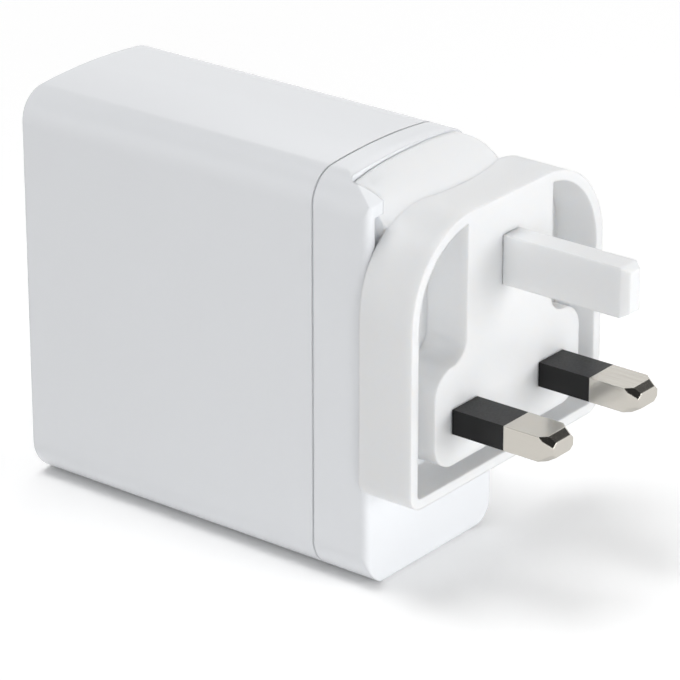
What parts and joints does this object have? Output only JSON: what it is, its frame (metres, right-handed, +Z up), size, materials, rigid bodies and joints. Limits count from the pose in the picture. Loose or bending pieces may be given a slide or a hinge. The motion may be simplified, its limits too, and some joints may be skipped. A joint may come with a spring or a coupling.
{
  "type": "laptop power adapter",
  "caption": "Slim upright white power adapter for a laptop, with a pinned mains plug head that slides up out of a dock in its front cover and an output socket in its back.",
  "frame": {"origin": "on the resting plane under the middle of the object's box", "axes": "+X out of the plug's engagement face along the pins, +Z up, +Y across the narrow side of the case"},
  "size_m": [0.101, 0.0488, 0.0665],
  "materials": {
    "case_white": "smooth moulded white plastic with a soft gloss",
    "plug_white": "smooth moulded white plastic with a soft gloss",
    "sleeve_black": "satin black insulating plastic",
    "plated_pin": "bright nickel plating on brass",
    "contact_brass": "stamped brass strip",
    "spring_steel": "hard rolled spring steel",
    "holder_black": "glass-filled plastic",
    "board_green": "solder-masked board laminate",
    "sheet_clear": "thin milky insulating sheet",
    "fuse_brown": "moulded fuse case",
    "film_yellow": "film capacitor case",
    "ferrite": "sintered ferrite",
    "copper_wire": "enamelled copper wire",
    "tape_yellow": "polyester tape over the winding",
    "package_black": "moulded semiconductor package",
    "can_black": "shrunk sleeve on a can",
    "can_silver": "bare aluminium can",
    "disc_blue": "dipped ceramic disc",
    "plain_aluminium": "plain rolled sheet",
    "socket_steel": "drawn stainless shell"
  },
  "bodies": {
    "charger": {"main_shell": "case_white", "front_cover": "case_white", "contact_block": "holder_black", "live_contact": "contact_brass", "neutral_contact": "contact_brass", "detent_spring": "spring_steel", "main_board": "board_green", "insulation_sheet": "sheet_clear", "fuse": "fuse_brown", "x_capacitor": "film_yellow", "choke_core": "ferrite", "choke_windings": "copper_wire", "bridge_rectifier": "package_black", "bulk_capacitors": "can_black", "power_switches": "package_black", "transformer_core": "ferrite", "transformer_winding": "tape_yellow", "y_capacitor": "disc_blue", "output_capacitors": "can_silver", "output_board": "board_green", "usb_c_shell": "socket_steel", "usb_c_tongue": "holder_black", "heat_spreader": "plain_aluminium"},
    "plug_head": {"plug_housing": "plug_white", "plug_back_plate": "plug_white", "earth_pin": "plug_white", "live_pin": "plated_pin", "neutral_pin": "plated_pin", "live_sleeve": "sleeve_black", "neutral_sleeve": "sleeve_black", "live_blade": "contact_brass", "neutral_blade": "contact_brass"}
  },
  "joints": [
    {"name": "plug_slide", "type": "slide", "parent": "charger", "child": "plug_head", "axis": [0, 0, 1], "range_m": [0, 0.042], "deforming": ["detent_spring"]}
  ]
}
